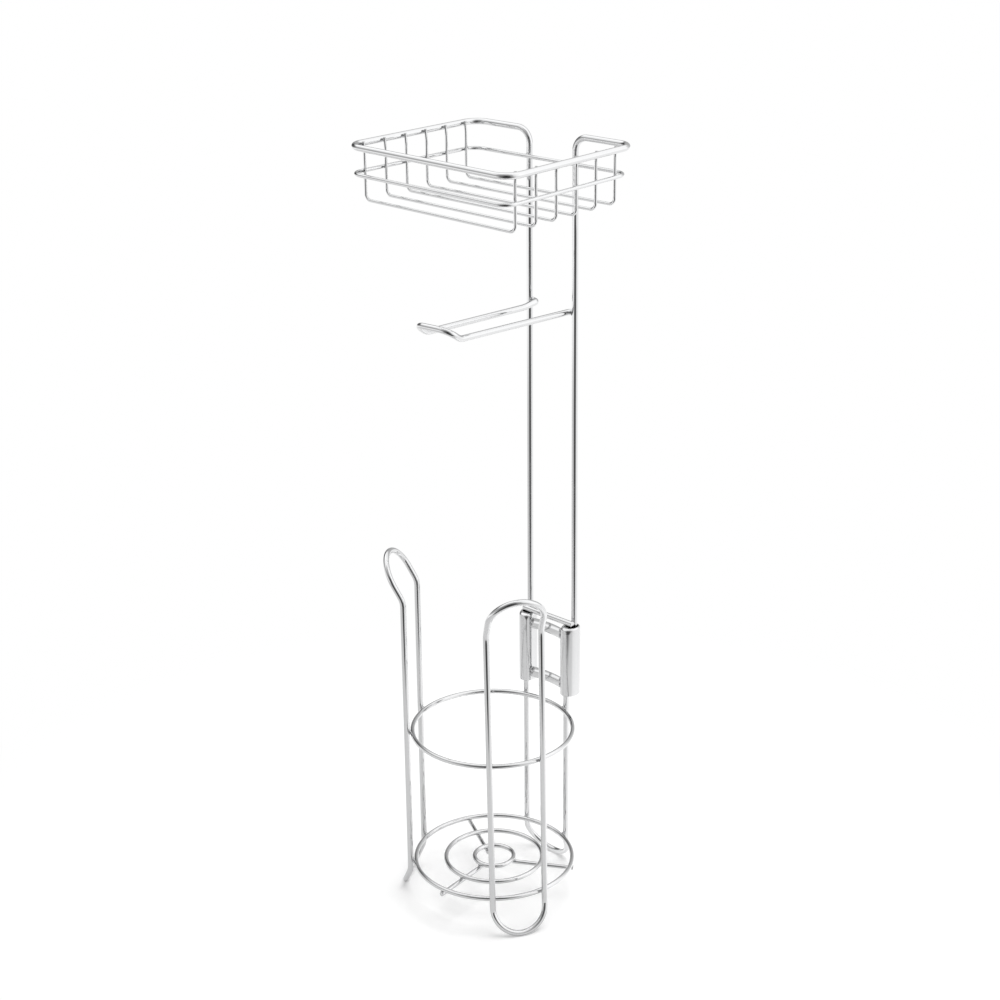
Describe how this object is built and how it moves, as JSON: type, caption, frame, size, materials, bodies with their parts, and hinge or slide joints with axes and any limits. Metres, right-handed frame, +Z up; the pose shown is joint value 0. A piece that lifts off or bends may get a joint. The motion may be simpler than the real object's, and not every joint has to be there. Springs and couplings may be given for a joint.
{
  "type": "toilet paper stand",
  "caption": "Free-standing chrome wire toilet paper stand: an open tray above a roll arm, and a spare-roll cage below on looped feet.",
  "frame": {"origin": "on the floor, in the middle of the stand's plan outline", "axes": "+Z up, +Y towards the back, where the uprights are, +X to the right as seen from the front"},
  "size_m": [0.1666, 0.1499, 0.6435],
  "materials": {
    "chrome_wire": "bright chrome plate on round drawn steel wire",
    "chrome_sheet": "bright chrome plate on flattened steel tube and flat steel strip"
  },
  "bodies": {
    "cage": {"rear_loop": "chrome_wire", "left_loop": "chrome_wire", "right_loop": "chrome_wire", "upper_ring": "chrome_wire", "base_outer_ring": "chrome_wire", "base_middle_ring": "chrome_wire", "base_hub_ring": "chrome_wire", "base_spoke_1": "chrome_wire", "base_spoke_2": "chrome_wire", "base_spoke_3": "chrome_wire", "left_sleeve": "chrome_sheet", "right_sleeve": "chrome_sheet", "upper_strap": "chrome_sheet", "lower_strap": "chrome_sheet"},
    "upper_frame": {"main_frame_wire": "chrome_wire", "stop_wire": "chrome_wire", "tray_band": "chrome_wire", "tray_cross_wire_1": "chrome_wire", "tray_cross_wire_2": "chrome_wire", "tray_cross_wire_3": "chrome_wire", "tray_cross_wire_4": "chrome_wire", "tray_cross_wire_5": "chrome_wire", "tray_cross_wire_6": "chrome_wire", "roll_arm": "chrome_wire"}
  },
  "joints": [
    {"name": "upper_frame_lift", "type": "slide", "parent": "cage", "child": "upper_frame", "axis": [0, 0, 1], "range_m": [0, 0.07]}
  ]
}
